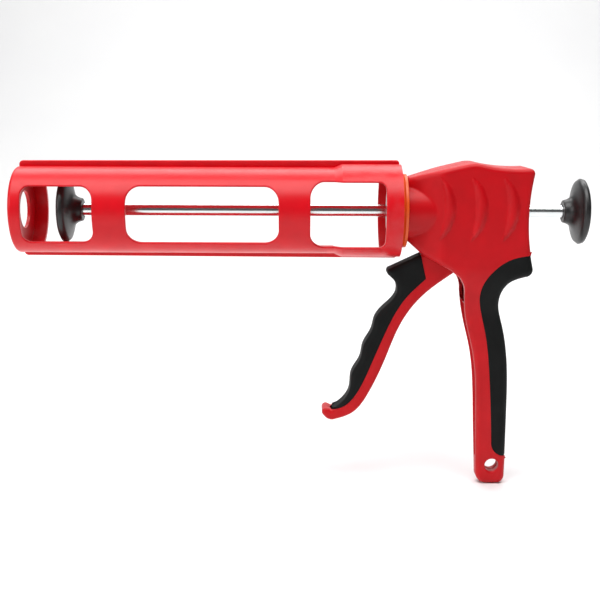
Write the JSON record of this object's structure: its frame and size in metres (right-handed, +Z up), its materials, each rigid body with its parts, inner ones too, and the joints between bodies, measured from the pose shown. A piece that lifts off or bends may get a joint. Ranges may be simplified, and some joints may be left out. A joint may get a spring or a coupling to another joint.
{
  "type": "caulking gun",
  "caption": "Hand caulking gun: half-open turning cradle for a sealant cartridge, push rod with discs, trigger with soft grip and handle.",
  "frame": {"origin": "centre of the nozzle hole on the inner face of the cradle's front wall", "axes": "+X back along the push rod to the thumb disc, +Z up from the handle to the body, +Y to the cradle's open side"},
  "size_m": [0.3644, 0.0594, 0.2157],
  "materials": {
    "red_cradle": "glossy moulded plastic",
    "red_body": "satin moulded plastic",
    "orange_ring": "satin moulded plastic",
    "black_grip": "soft matt elastomer",
    "black_plastic": "satin moulded plastic",
    "zinc_rod": "bright zinc plate",
    "zinc_hardware": "zinc plated",
    "cast_zinc": "turned steel",
    "hard_steel": "hardened, blued",
    "spring_steel": "drawn wire",
    "grey_plastic": "moulded",
    "seal_rubber": "matt"
  },
  "bodies": {
    "frame": {"body_shell_near": "red_body", "body_shell_far": "red_body", "handle_grip": "black_grip", "body_screws": "zinc_hardware", "neck_tube": "cast_zinc", "neck_nut": "zinc_hardware", "neck_washer": "zinc_hardware", "swivel_ring": "orange_ring", "trigger_pin": "zinc_hardware", "trigger_washers": "zinc_hardware", "rear_bush": "grey_plastic", "brake_ring": "seal_rubber", "drive_spring": "spring_steel"},
    "cradle": {"cradle": "red_cradle"},
    "trigger": {"trigger_lever": "red_body", "trigger_grip": "black_grip", "fork_rollers": "hard_steel", "roller_pins": "zinc_hardware"},
    "drive": {"drive_plate_front": "hard_steel", "drive_plate_rear": "hard_steel"},
    "rod": {"push_rod": "zinc_rod", "plunger_disc": "black_plastic", "plunger_screw": "zinc_hardware", "plunger_washer": "zinc_hardware", "thumb_disc": "black_plastic", "thumb_screw": "zinc_hardware", "thumb_washer": "zinc_hardware"}
  },
  "joints": [
    {"name": "cradle_spin", "type": "hinge", "parent": "frame", "child": "cradle", "pos_m": [0.24, 0, 0], "axis": [1, 0, 0], "continuous": true},
    {"name": "trigger_pull", "type": "hinge", "parent": "frame", "child": "trigger", "pos_m": [0.278, 0, -0.022], "axis": [0, -1, 0], "range_deg": [0, 28], "stiffness_Nm_per_rad": 0.3, "springref_deg": -20.05},
    {"name": "drive_slide", "type": "slide", "parent": "frame", "child": "drive", "axis": [-1, 0, 0], "range_m": [0, 0.0105], "deforming": ["drive_spring"]},
    {"name": "rod_slide", "type": "slide", "parent": "frame", "child": "rod", "axis": [1, 0, 0], "range_m": [-0.016, 0.19]}
  ],
  "couplings": [
    {"joint": "drive_slide", "follows": "trigger_pull", "m_per_rad": 0.0211}
  ]
}
